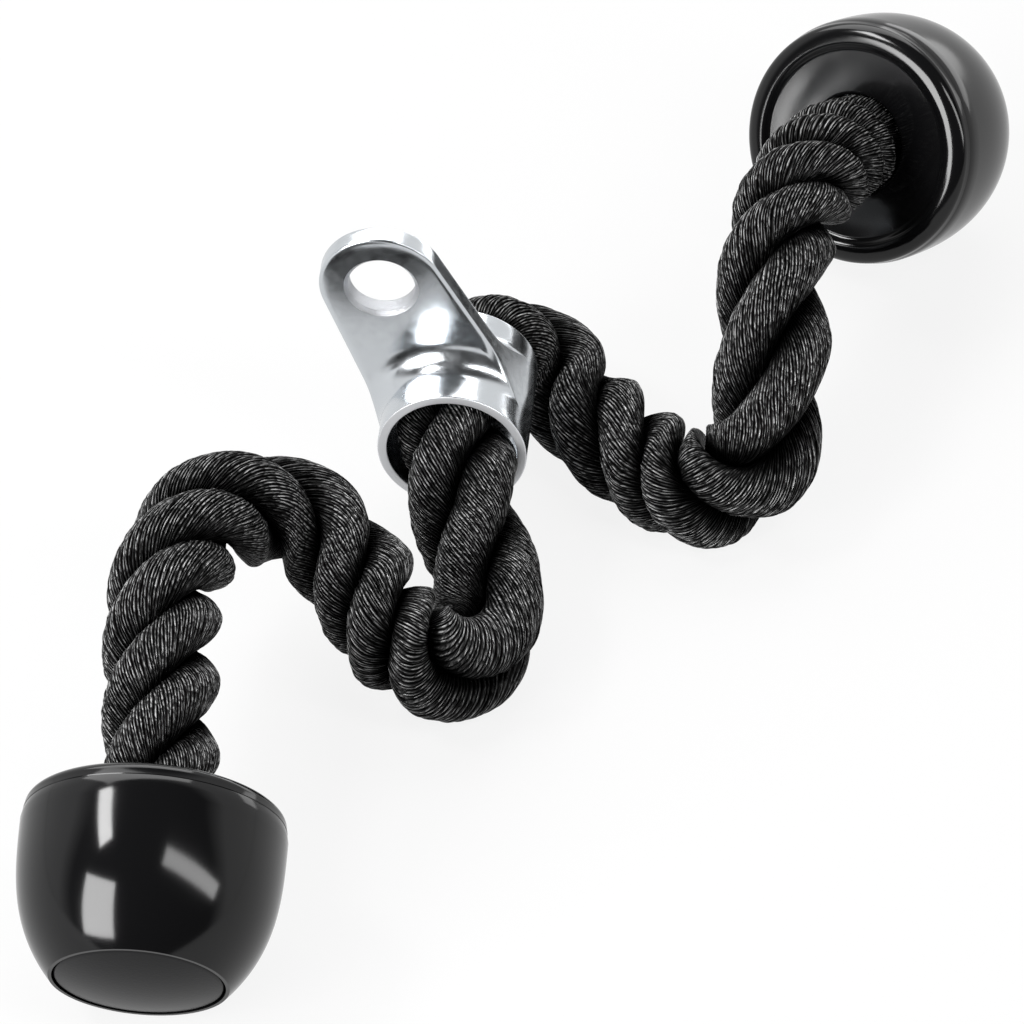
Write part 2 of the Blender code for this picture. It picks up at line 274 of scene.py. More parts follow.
CAP_HOLE_STEPS = 6
DISH_POINTS = 24
LIP_STEPS = 20
BELLY_POINTS = 61
BELLY_SPACING = 2 / 3  # power that spaces them, closer together towards the foot
PLUG_EDGE_STEPS = 8
PLUG_DOME_POINTS = 30

# Studio
BOX_DISTANCE = 1.6
SOFT_BOXES = {  # heading from +Y towards +X, lift, width, height and roll in degrees, then radiance
    "left_box": (-139, 23, 26, 34, 22, 16.0),
    "right_box": (123, 42, 11, 52, 27, 9.0),
    "top_box": (-20, 50, 64, 40, 0, 3.6),
    "back_box": (-101, 53, 17, 10, 0, 24.0),
    "side_box": (32, 7, 56, 14, 0, 2.2),
}
FLOOR_HALF = 12
FLOOR_SEEN = 0.86  # glow of the floor where the camera sees it
FLOOR_MIRRORED = 0.72  # and where the object mirrors it
BACKDROP_SLANT = (0.0, 1.0, -0.9)  # its edge runs up and back
BACKDROP_EDGE = (-0.55, -0.25)
BACKDROP_LEVEL = 0.85
ROOM_LEVEL = 0.06
NOISE_MIDDLE = (0.3, 0.7)  # where most of a noise's values lie


def add_object(name, data):
    """Puts data into the scene as an object."""
    thing = bpy.data.objects.new(name, data)
    bpy.context.scene.collection.objects.link(thing)
    return thing


def add_mesh(name, points, faces, sharp=35):
    """A mesh object, smooth but for its sharp edges."""
    mesh = bpy.data.meshes.new(name)
    mesh.from_pydata([tuple(p) for p in points], [], [tuple(f) for f in faces])
    mesh.validate()
    mesh.shade_smooth()
    mesh.set_sharp_from_angle(angle=math.radians(sharp))
    return add_object(name, mesh)


def unit(vector):
    """The vector at length 1."""
    return vector / np.linalg.norm(vector)


def make_camera():
    """The long lens that took the picture."""
    turn, lift = CAMERA_TURN, CAMERA_ELEVATION
    right = np.array([math.cos(turn), math.sin(turn), 0])
    ahead = np.array([-math.sin(turn) * math.cos(lift), math.cos(turn) * math.cos(lift), -math.sin(lift)])
    up = np.cross(right, ahead)
    offset = right * CAMERA_OFFSET[0] + up * CAMERA_OFFSET[1]
    place = np.array(CAMERA_AIM) - CAMERA_DISTANCE * (ahead + offset)
    lens = bpy.data.cameras.new("camera")
    lens.sensor_width = CAMERA_SENSOR * MILLIMETRES
    lens.lens = lens.sensor_width * CAMERA_FIELD
    lens.clip_start = 0.1
    lens.clip_end = 20
    camera = add_object("camera", lens)
    axes = Matrix((right, up, -ahead)).transposed().to_4x4()
    camera.matrix_world = Matrix.Translation(place) @ axes
    bpy.context.scene.camera = camera


def cap_matrix(side):
    """Places +Z on the cap's axis from mouth to foot, with the origin in the middle of the mouth."""
    lie = CAPS[side]
    turn = Matrix.Rotation(lie["heading"], 4, "Z") @ Matrix.Rotation(math.pi / 2 + lie["dip"], 4, "Y")
    return Matrix.Translation(lie["mouth"]) @ turn


def smooth_route(points):
    """A natural cubic curve through the points, read at SPLINE_STEPS places between each two of them."""
    points = np.array(points)
    runs = np.sqrt(np.linalg.norm(np.diff(points, axis=0), axis=1))
    count = len(points)
    system = np.eye(count)
    rates = np.zeros((count, 3))
    for i in range(1, count - 1):
        before, after = runs[i - 1], runs[i]
        system[i, i - 1:i + 2] = before, 2 * (before + after), after
        rates[i] = 6 * ((points[i + 1] - points[i]) / after - (points[i] - points[i - 1]) / before)
    bends = np.linalg.solve(system, rates)
    curve = [points[0]]
    for i, run in enumerate(runs):
        for step in range(1, SPLINE_STEPS + 1):
            done = run * step / SPLINE_STEPS
            left = run - done
            pull = (bends[i] * left ** 3 + bends[i + 1] * done ** 3) / (6 * run)
            start = (points[i] / run - bends[i] * run / 6) * left
            end = (points[i + 1] / run - bends[i + 1] * run / 6) * done
            curve.append(pull + start + end)
    return np.array(curve)


def whole_route():
    """The rope's centre line, the length run at each of its points, and a frame that turns with it but not
    round it: two directions square to the line."""
    depths = (ROPE_DEPTH, ROPE_DEPTH / 2, -ROPE_APPROACH)
    left = [tuple(cap_matrix("left") @ Vector((0, 0, depth))) for depth in depths]
    right = [tuple(cap_matrix("right") @ Vector((0, 0, depth))) for depth in reversed(depths)]
    curve = smooth_route([*left, *ROPE_ROUTE, *right])
    lengths = np.concatenate([[0], np.cumsum(np.linalg.norm(np.diff(curve, axis=0), axis=1))])
    middle = np.argmin(np.linalg.norm(curve - np.array(BARREL_CENTRE), axis=1))
    headings = np.gradient(curve, axis=0)
    headings /= np.linalg.norm(headings, axis=1)[:, None]
    normal = np.array([0.0, 0.0, 1.0])
    normals = []
    for heading in headings:
        normal = unit(normal - heading * (normal @ heading))
        normals.append(normal)
    normals = np.array(normals)
    return curve, lengths - lengths[middle], normals, np.cross(headings, normals)


def smooth_noise(rng, places, columns):
    """Random values for each column, smooth over WANDER_RUN along the places, mostly between -1 and 1."""
    steps = 4
    fine = np.arange(places[0] - 2 * WANDER_RUN, places[-1] + 2 * WANDER_RUN, WANDER_RUN / steps)
    kernel = np.exp(-np.linspace(-2, 2, 2 * steps + 1) ** 2)
    kernel /= np.sqrt((kernel ** 2).sum())
    values = rng.standard_normal((len(fine), columns))
    smoothed = [np.convolve(values[:, i], kernel, mode="same") for i in range(columns)]
    return np.array([np.interp(places, fine, column) for column in smoothed]).T


def eased(table, places):
    """A table's values at places along the rope, with its corners rounded over LAY_EASING."""
    fine = np.arange(places[0] - 2 * LAY_EASING, places[-1] + 2 * LAY_EASING, LAY_EASING / EASING_STEPS)
    window = np.hanning(2 * EASING_STEPS + 1)
    values = np.convolve(np.interp(fine, *np.array(table).T), window / window.sum(), mode="same")
    return np.interp(places, fine, values)


def strand_outline(angles, offset, radius, opening):
    """Distance from a strand's middle to its surface: round outside, flat towards its two neighbours."""
    flat = offset * math.sin(math.pi / STRANDS) - STRAND_GAP - opening * OPENING_SLOT
    power = STRAND_ROUNDNESS
    total = (1 / radius) ** power
    for tilt in (math.radians(150), -math.radians(150)):
        total = total + (np.clip(np.cos(angles - tilt), 0, None) / flat) ** power
    return total ** (-1 / power)


def lay_of(places):
    """The strands' turn and opening at places along the rope, and the yarns' slope, their rate of turn,
    their turn and the length run along them."""
    turn = eased(LAY_TURNS, places)
    opening = eased(OPENINGS, places)
    slope = np.tan(np.radians(eased(YARN_SLOPES, places)))
    radius = STRAND_RADIUS - OPENING_THINNING * opening
    rate = (slope - (STRAND_OFFSET + opening) * np.gradient(turn, places)) / radius
    spin = np.concatenate([[0], np.cumsum((rate[1:] + rate[:-1]) / 2 * np.diff(places))])
    run = np.concatenate([[0], np.cumsum(np.hypot(1, slope[1:]) * np.diff(places))])
    return turn, opening, slope, rate, spin - np.interp(0, places, spin), run


def ring_places(fine, rate, first, last):
    """Places of the rings between two lengths, closer together where the yarns turn fast."""
    density = np.maximum(1 / RING_STEP, abs(rate) / RING_TWIST)
    count = np.concatenate([[0], np.cumsum(density[1:] * np.diff(fine))])
    ends = np.interp((first, last), fine, count)
    return np.interp(np.linspace(*ends, math.ceil(ends[1] - ends[0]) + 1), count, fine)


def press(points, places):
    """Flattens the rope where it lies on the floor and where the barrel holds it."""
    points[..., 2] = np.maximum(points[..., 2], SQUASH_GAP)
    beside = points - np.array(BARREL_CENTRE)
    out = np.hypot(beside[..., 0], beside[..., 2])
    held = (abs(beside[..., 1]) < BARREL_HALF + SQUASH_GAP) & (abs(places[:, None]) < 2 * BARREL_HALF)
    share = np.where(held, np.minimum(1, (BORE_RADIUS - SQUASH_GAP) / np.maximum(out, SQUASH_GAP)), 1)
    points[..., 0] = BARREL_CENTRE[0] + beside[..., 0] * share
    points[..., 2] = BARREL_CENTRE[2] + beside[..., 2] * share
    return points


def bends_of(centres, places):
    """The direction towards the centre of the bend at each place, and the bend's radius."""
    headings = np.gradient(centres, places, axis=0)
    headings /= np.linalg.norm(headings, axis=1)[:, None]
    bends = np.gradient(headings, places, axis=0)
    rates = np.linalg.norm(bends, axis=1)[:, None]
    return (bends / rates)[:, None], 1 / rates


def hold_back(offsets, inward, radius):
    """Keeps the inner side of a tight bend from running past the bend's own centre."""
    reach = (offsets * inward).sum(axis=-1)
    room = (BEND_ROOM - BEND_EASE) * radius
    past = np.maximum(reach - BEND_EASE * radius, 0)
    spare = past - room * (1 - np.exp(-past / room))
    return offsets - inward * spare[:, :, None]


def girth_at(end_run):
    """The rope's share of its full girth at a length from its end: drawn in within the cap, rounded last."""
    share = np.clip((end_run - ROPE_DEPTH) / NECKING_LENGTH, 0, 1)
    girth = NECK_SHARE + (1 - NECK_SHARE) * np.sin(share * math.pi / 2)
    rounding = 1 - (1 - np.clip(end_run / END_ROUND, 0, 1)) ** 2
    return girth * np.sqrt(np.clip(rounding, END_LEAST, 1))


def strand_faces(start, rings, columns):
    """The faces between a strand's rings, and one at each of its ends."""
    index = start + np.arange(rings * columns).reshape(rings, columns)
    near = np.roll(index, -1, axis=1)
    quads = np.stack([index[:-1], near[:-1], near[1:], index[1:]], axis=-1).reshape(-1, 4)
    return [*quads, index[0][::-1], index[-1]]


def corner_marks(strand, number, run, angles):
    """For each corner of a strand's faces: its yarn with the place across it, the millimetres run along the
    yarn, and how far round the strand it lies, 1 being innermost, which the rope's material turns into
    painted shade towards the creases."""
    yarn = np.array([0, 1, 1, 0]) / YARN_SIDES + number[:, None] + strand * YARNS
    length = run[:, None] * MILLIMETRES
    length = np.stack([length[:-1], length[:-1], length[1:], length[1:]], axis=-1)
    turned = abs(angles) / math.pi
    near = np.roll(turned, -1, axis=1)
    turned = np.stack([turned[:-1], near[:-1], near[1:], turned[1:]], axis=-1)
    marks = np.stack(np.broadcast_arrays(yarn, length, turned), axis=-1).reshape(-1, 3)
    end_faces = np.zeros((2 * len(number), 3))
    return np.concatenate([marks, end_faces])


def make_rope(side, route):
    """Half of the rope, from the barrel's middle to its end in a cap: three strands of twisted yarns."""
    curve, lengths, normals, binormals = route
    fine = np.arange(lengths[0], lengths[-1], RING_STEP / READINGS)
    turns, openings, slopes, rates, spins, runs = lay_of(fine)
    first, last = (lengths[0], 0) if side == "left" else (0, lengths[-1])
    places = ring_places(fine, rates, first, last)

    def read(values):
        return np.array([np.interp(places, lengths, values[:, axis]) for axis in range(3)]).T

    centres, out, across = read(curve), read(normals), read(binormals)
    turn, opening, run = (np.interp(places, fine, values) for values in (turns, openings, runs))
    girth = girth_at(np.minimum(places - lengths[0], lengths[-1] - places))[:, None]
    offset = (STRAND_OFFSET + opening)[:, None]
    radius = (STRAND_RADIUS - OPENING_THINNING * opening)[:, None]

    inward, bend_radius = bends_of(centres, places)
    inward_out = (out * inward[:, 0]).sum(axis=-1)[:, None]
    inward_across = (across * inward[:, 0]).sum(axis=-1)[:, None]
    columns = YARNS * YARN_SIDES
    number = np.arange(columns) / YARN_SIDES
    ridge = np.sin(np.pi * (number % 1)) ** RIDGE_POWER
    before = np.floor(number - 0.5).astype(int)
    mix = number - 0.5 - before
    shares = np.cos(np.arctan(slopes))
    drift = np.concatenate([[0], np.cumsum(shares[1:] * np.diff(spins - turns))]) * YARNS / math.tau
    drift = np.interp(places, fine, drift)[:, None]
    yarn_angle = (math.tau / YARNS / np.interp(places, fine, shares))[:, None]
    points, faces, marks = [], [], []
    for strand in range(STRANDS):
        rng = np.random.default_rng(SEEDS[side] + strand)
        wander = np.repeat(smooth_noise(rng, places, YARNS), YARN_SIDES, axis=1)
        sways = smooth_noise(rng, places, YARNS)
        sway = sways[:, before % YARNS] * (1 - mix) + sways[:, (before + 1) % YARNS] * mix
        beside = np.mod(number + YARN_SWAY * sway + drift + YARNS / 2, YARNS) - YARNS / 2
        angles = np.clip(beside * yarn_angle, -math.pi, math.pi)
        reach = strand_outline(angles, offset, radius, opening[:, None])
        around = (turn + math.tau * strand / STRANDS)[:, None]
        way = around + np.arctan2(reach * np.sin(angles), offset + reach * np.cos(angles))
        rim = np.hypot(reach * np.sin(angles), offset + reach * np.cos(angles))
        towards = rim * (np.cos(way) * inward_out + np.sin(way) * inward_across)
        crowd = np.clip(1 - towards / bend_radius, CROWDED, 1)
        reach = reach + crowd * (YARN_HEIGHT * (ridge - 1) + YARN_WANDER * wander * ridge)
        radial = (offset + reach * np.cos(angles)) * girth
        tangential = reach * np.sin(angles) * girth
        x = radial * np.cos(around) - tangential * np.sin(around)
        y = radial * np.sin(around) + tangential * np.cos(around)
        offsets = out[:, None] * x[:, :, None] + across[:, None] * y[:, :, None]
        rings = press(centres[:, None] + hold_back(offsets, inward, bend_radius), places)
        faces.extend(strand_faces(len(points), len(places), columns))
        points.extend(rings.reshape(-1, 3))
        marks.append(corner_marks(strand, number, run, angles))
    rope = add_mesh(side + "_rope", points, faces, ROPE_CREASE_ANGLE)
    yarn_place = rope.data.attributes.new("yarn_place", "FLOAT_VECTOR", "CORNER")
    yarn_place.data.foreach_set("vector", np.concatenate(marks).ravel())
    rope.data.materials.append(rope_material())
    nodes = {
        "left": ("left_rope_arm", "left_rope_bend", "rope_middle"),
        "right": ("right_rope_arm", "right_rope_bend"),
    }
    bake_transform(rope)
    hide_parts(*nodes[side])
    if side == "left":
        centres = centres[::-1]


def new_material(name):
    """A node material, its node tree and its shader."""
    material = bpy.data.materials.new(name)
    material.use_nodes = True
    tree = material.node_tree
    return material, tree, tree.nodes["Principled BSDF"]


def set_inputs(node, **values):
    """Sets a node's inputs, with an underscore for each space in their names."""
    for key, value in values.items():
        node.inputs[key.replace("_", " ")].default_value = value


def add_node(tree, kind, **values):
    """A shader node with its properties and inputs set."""
    node = tree.nodes.new(kind)
    for key, value in values.items():
        if hasattr(node, key):
            setattr(node, key, value)
        else:
            set_inputs(node, **{key: value})
    return node


def calculate(tree, operation, *outputs):
    """What a Math node makes of the outputs."""
    node = add_node(tree, "ShaderNodeMath", operation=operation)
    for output, socket in zip(outputs, node.inputs):
        tree.links.new(output, socket)
    return node.outputs[0]


def scale_and_add(tree, output, factor, other):
    """An output times a factor, plus the other output."""
    node = add_node(tree, "ShaderNodeMath", operation="MULTIPLY_ADD")
    tree.links.new(output, node.inputs[0])
    node.inputs[1].default_value = factor
    tree.links.new(other, node.inputs[2])
    return node.outputs[0]


def grey_ramp(tree, output, stops):
    """An output turned into greys through (place, level) stops."""
    ramp = add_node(tree, "ShaderNodeValToRGB")
    elements = ramp.color_ramp.elements
    while len(elements) < len(stops):
        elements.new(0.5)
    for element, (place, level) in zip(elements, stops):
        element.position = place
        element.color = (level, level, level, 1)
    tree.links.new(output, ramp.inputs["Fac"])
    return ramp.outputs["Color"]


def spread(tree, output, old_range, new_range):
    """An output taken from one range to another."""
    node = add_node(tree, "ShaderNodeMapRange")
    set_inputs(node, From_Min=old_range[0], From_Max=old_range[1], To_Min=new_range[0], To_Max=new_range[1])
    tree.links.new(output, node.inputs["Value"])
    return node.outputs["Result"]


def noise(tree, place, **values):
    """Noise at a place."""
    node = add_node(tree, "ShaderNodeTexNoise", **values)
    tree.links.new(place, node.inputs["Vector"])
    return node.outputs["Fac"]


def object_place(tree):
    """The place on the object."""
    return add_node(tree, "ShaderNodeTexCoord").outputs["Object"]


def stretched(tree, place, scale):
    """A place with its three axes scaled."""
    node = add_node(tree, "ShaderNodeMapping", Scale=scale)
    tree.links.new(place, node.inputs["Vector"])
    return node.outputs["Vector"]


def bumped(tree, height, strength, distance):
    """The normal of a surface with this relief."""
    node = add_node(tree, "ShaderNodeBump", Strength=strength, Distance=distance)
    tree.links.new(height, node.inputs["Height"])
    return node.outputs["Normal"]


@cache
def rope_material():
    """Black yarn: painted shade in the yarns' valleys and the strands' creases, a painted glint on each
    ply's turn.
    """
    material, tree, shader = new_material("rope_yarn")
    link = tree.links.new
    place = add_node(tree, "ShaderNodeAttribute", attribute_name="yarn_place").outputs["Vector"]
    split = add_node(tree, "ShaderNodeSeparateXYZ")
    link(place, split.inputs[0])
    number, run, turned = split.outputs
    across = calculate(tree, "FRACT", number)
    # the crown is 0 in the valleys between the yarns: it shapes the bump and also paints shade into those
    # valleys
    crown = grey_ramp(tree, across, ((0, 0), (0.22, 0.2), (0.5, 1), (0.78, 0.2), (1, 0)))

    streak = noise(tree, stretched(tree, place, (0.9, 0.3, 1.0)), Scale=1.0, Detail=2.0, Roughness=0.6)
    chance = add_node(tree, "ShaderNodeTexWhiteNoise", noise_dimensions="1D")
    link(calculate(tree, "FLOOR", number), chance.inputs["W"])
    uneven = scale_and_add(tree, streak, PLY_UNEVEN, chance.outputs["Value"])
    along = scale_and_add(tree, run, 1 / PLY_PITCH, uneven)
    ply = calculate(tree, "FRACT", scale_and_add(tree, across, PLY_SLANT, along))
    turn = grey_ramp(tree, ply, ((0, 0.12), (0.3, 0.75), (0.5, 1), (0.7, 0.75), (1, 0.12)))

    lively = grey_ramp(tree, streak, ((0.35, 0.25), (0.7, 1)))
    # painted shade: the yarns grow darker towards the creases between the strands
    painted_crease_shade = grey_ramp(tree, turned, ((0.26, 1), (0.55, 0.12)))
    relief = calculate(tree, "MULTIPLY", crown, turn)
    glint = calculate(tree, "MULTIPLY", calculate(tree, "MULTIPLY", relief, lively), painted_crease_shade)
    # the glint, a painted highlight with the painted shade in it, sets the base colour and the specular
    # level
    link(grey_ramp(tree, glint, ((0, 0), (0.15, 0.015), (0.7, 0.40))), shader.inputs["Base Color"])
    link(spread(tree, glint, (0, 0.7), (0.01, 0.9)), shader.inputs["Specular IOR Level"])
    link(bumped(tree, relief, 0.8, 0.00025), shader.inputs["Normal"])
    set_inputs(shader, Roughness=0.3)
    return material


@cache
def chrome_material():
    """Polished chrome with a faint waviness."""
    material, tree, shader = new_material("chrome")
    link = tree.links.new
    place = object_place(tree)
    waves = bumped(tree, noise(tree, place, Scale=70.0, Detail=1.0), 0.10, 0.0006)
    tilt = add_node(tree, "ShaderNodeVectorRotate", rotation_type="X_AXIS", Angle=MIRROR_TILT)
    link(waves, tilt.inputs["Vector"])
    link(tilt.outputs["Vector"], shader.inputs["Normal"])
    grain = noise(tree, place, Scale=400.0, Detail=3.0)
    link(spread(tree, grain, NOISE_MIDDLE, (0.16, 0.24)), shader.inputs["Roughness"])
    set_inputs(shader, Metallic=1, Base_Color=(0.66, 0.69, 0.72, 1))
    return material


@cache
def machined_material():
    """Bored steel with fine turning marks round its bore."""
    material, tree, shader = new_material("machined_steel")
    place = stretched(tree, object_place(tree), (120, 2600, 120))
    marks = noise(tree, place, Scale=1.0, Detail=3.0, Roughness=0.7)
    tree.links.new(bumped(tree, marks, 1.0, 0.0005), shader.inputs["Normal"])
    set_inputs(shader, Roughness=0.38, Metallic=1, Base_Color=(0.46, 0.47, 0.49, 1))
    return material


@cache
def satin_material():
    """Faced steel with a satin sheen."""
    material, tree, shader = new_material("faced_steel")
    grain = noise(tree, object_place(tree), Scale=900.0, Detail=3.0)
    tree.links.new(bumped(tree, grain, 0.25, 0.0002), shader.inputs["Normal"])
    set_inputs(shader, Roughness=0.5, Metallic=0.75, Base_Color=(0.80, 0.81, 0.83, 1))
    return material


@cache
def cap_material():
    """Glossy black moulding."""
    material, tree, shader = new_material("cap_black")
    waves = noise(tree, object_place(tree), Scale=45.0, Detail=2.0)
    tree.links.new(bumped(tree, waves, 0.04, 0.0008), shader.inputs["Normal"])
    tree.links.new(spread(tree, waves, NOISE_MIDDLE, (0.09, 0.14)), shader.inputs["Roughness"])
    set_inputs(shader, Specular_IOR_Level=0.36, Base_Color=(0.003, 0.003, 0.0033, 1))
    return material


@cache
def plug_material():
    """Satin black plastic."""
    material, tree, shader = new_material("plug_satin")
    grain = noise(tree, object_place(tree), Scale=1500.0, Detail=3.0)
    tree.links.new(bumped(tree, grain, 0.15, 0.0002), shader.inputs["Normal"])
    set_inputs(shader, Roughness=0.34, Specular_IOR_Level=0.2, Base_Color=(0.005, 0.005, 0.0055, 1))
    return material


def tip_angle(turn):
    """The angle at the barrel's axis between the lug's own direction and a point of its round tip."""
    return math.atan2(LUG_TIP_RADIUS * math.cos(turn), LUG_REACH + LUG_TIP_RADIUS * math.sin(turn))


def lug_reach(angle):
    """How far the bracket reaches from the barrel's axis, at an angle from the lug's own direction."""
    angle = abs(angle)
    facing = math.pi / 2 - LUG_TAPER
    if angle <= tip_angle(LUG_TAPER):
        aside = LUG_REACH * math.sin(angle)
        return LUG_REACH * math.cos(angle) + math.sqrt(LUG_TIP_RADIUS ** 2 - aside ** 2)
    if angle <= facing:
        return BARREL_RADIUS / math.cos(angle - facing)
    return BARREL_RADIUS


def round_corner(start, corner, end, steps):
    """Points of a curve from start to end that a corner pulls."""
    start, corner, end = np.array(start), np.array(corner), np.array(end)
    shares = np.linspace(0, 1, steps + 1)
    return [tuple(start * (1 - t) ** 2 + corner * 2 * t * (1 - t) + end * t ** 2) for t in shares]


def bracket_section(reach):
    """Half of the bracket's section beside the rope: (distance from the axis, distance from the middle)."""
    neck_half = LUG_HALF + NECK_FILLET

    def face_at(distance):
        hollow = max(BARREL_RADIUS + NECK_FILLET - distance, 0)
        return neck_half - math.sqrt(max(NECK_FILLET ** 2 - hollow ** 2, 0))

    half, edge = BARREL_HALF, RING_EDGE
    bore, outer = BORE_RADIUS, BARREL_RADIUS
    section = [(bore, share * (half - edge)) for share in (0, 0.5)]
    section += round_corner((bore, half - edge), (bore, half), (bore + edge, half), RING_EDGE_STEPS)
    section += round_corner((outer - edge, half), (outer, half), (outer, half - edge), RING_EDGE_STEPS)
    section += [(outer, half - edge - share * (half - edge - neck_half)) for share in (0.33, 0.66)]
    spare = reach - outer
    face_round = min(LUG_FACE_ROUND, spare * FACE_ROUND_SHARE)
    side_round = min(LUG_SIDE_ROUND, spare * SIDE_ROUND_SHARE)
    inner = reach - face_round
    hollow_end = min(inner, outer + NECK_FILLET)
    last = 0
    if hollow_end > outer:
        last = math.acos((outer + NECK_FILLET - hollow_end) / NECK_FILLET)
    for share in np.linspace(0, 1, FILLET_POINTS):
        turn = last * share
        distance = outer + NECK_FILLET * (1 - math.cos(turn))
        section.append((distance, neck_half - NECK_FILLET * math.sin(turn)))
    flat_start = section[-1][0]
    section += [(flat_start + (inner - flat_start) * share, face_at(inner)) for share in (0.25, 0.5, 0.75)]
    corner = (reach, face_at(reach))
    side_start = corner[1] - side_round
    section += round_corner((inner, face_at(inner)), corner, (reach, side_start), LUG_EDGE_STEPS)
    section.append((reach, side_start / 2))
    return section


def bracket_angles():
    """Where the bracket's sections stand round the barrel's axis: closer together at the lug and its tip."""
    uniform = np.radians(np.arange(-180, 180, BRACKET_STEP))
    tips = [tip_angle(turn) for turn in np.linspace(LUG_TAPER, math.pi - LUG_TAPER, TIP_SECTIONS)]
    sides = np.radians(np.concatenate([SIDE_SECTIONS, -SIDE_SECTIONS]))
    return np.unique(np.round(np.concatenate([uniform, tips, sides]), 4))


def hole_cutter():
    """What the carabiner's hole takes out of the lug, with its two chamfers."""
    flare = HOLE_RADIUS + HOLE_CHAMFER + HOLE_OVERRUN
    rim = LUG_HALF + HOLE_OVERRUN
    half = [(HOLE_RADIUS, LUG_HALF - HOLE_CHAMFER), (flare, rim), (0, rim)]
    profile = [(radius, -height) for radius, height in reversed(half)] + half
    hole = turned("lug_hole", profile, HOLE_STEPS)
    hole.data.transform(Matrix.Rotation(math.pi / 2, 4, "X"))
    hole.data.transform(Matrix.Translation((0, LUG_SHIFT, LUG_REACH)))
    hole.data.materials.append(machined_material())
    return hole


def make_bracket():
    """The chromed bracket, finer than the solid, with its edges rounded."""
    angles = bracket_angles()
    points = []
    for angle in angles:
        half = bracket_section(lug_reach(angle))
        loop = [(d, -y) for d, y in half] + [(d, y) for d, y in reversed(half[1:])]
        for distance, y in loop:
            lug_share = min(1, (BARREL_HALF - abs(y)) / (BARREL_HALF - LUG_HALF - NECK_FILLET))
            shifted = y + LUG_SHIFT * lug_share
            points.append((distance * math.sin(angle), shifted, distance * math.cos(angle)))
    columns = len(loop)
    index = np.arange(len(angles) * columns).reshape(len(angles), columns)
    ahead = np.roll(index, -1, axis=0)
    corners = [index, np.roll(index, -1, axis=1), np.roll(ahead, -1, axis=1), ahead]
    quads = np.stack(corners, axis=-1).reshape(-1, 4)
    bracket = add_mesh("bracket_chromed", points, quads, CREASE_ANGLE)
    bracket.data.materials.append(chrome_material())
    bracket.data.materials.append(machined_material())

    hole = hole_cutter()
    cut = bracket.modifiers.new("hole", "BOOLEAN")
    cut.operation = "DIFFERENCE"
    cut.solver = "EXACT"
    cut.material_mode = "TRANSFER"
    cut.object = hole
    graph = bpy.context.evaluated_depsgraph_get()
    shape = bpy.data.meshes.new_from_object(bracket.evaluated_get(graph))
    bracket.modifiers.clear()
    bracket.data = shape
    shape.set_sharp_from_angle(angle=math.radians(CREASE_ANGLE))
    bpy.data.objects.remove(hole)
    shape.materials.append(satin_material())
    for face in shape.polygons:
        if abs(face.normal.y) > RING_FACING and abs(face.center.y) > BARREL_HALF - RING_EDGE:
            face.material_index = len(shape.materials) - 1
    shape.transform(Matrix.Translation(BARREL_CENTRE) @ Matrix.Rotation(LUG_LEAN, 4, "Y"))
    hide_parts("bracket")
    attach(bracket, "bracket")


def turned(name, profile, steps=TURNED_STEPS):
    """Turns (radius, height) points round +Z. They form a loop, unless they start and end at radius 0."""
    closed = profile[0][0] > 0
    angles = math.tau * np.arange(steps) / steps
    points, rows = [], []
    for radius, height in profile:
        if radius == 0:
            rows.append([len(points)] * steps)
            points.append((0, 0, height))
            continue
        rows.append(list(range(len(points), len(points) + steps)))
        points.extend((radius * math.cos(a), radius * math.sin(a), height) for a in angles)
    if closed:
        rows.append(rows[0])
    faces = []
    for low, high in zip(rows, rows[1:]):
        for i in range(steps):
            j = (i + 1) % steps
            face = [low[i], low[j], high[j], high[i]]
            faces.append(list(dict.fromkeys(face)))
    return add_mesh(name, points, faces)


def arc(centre, radius, first, last, steps):
    """Points of an arc round centre, between two angles in degrees."""
    angles = np.radians(np.linspace(first, last, steps + 1))
    return [(centre[0] + radius * math.cos(a), centre[1] + radius * math.sin(a)) for a in angles]


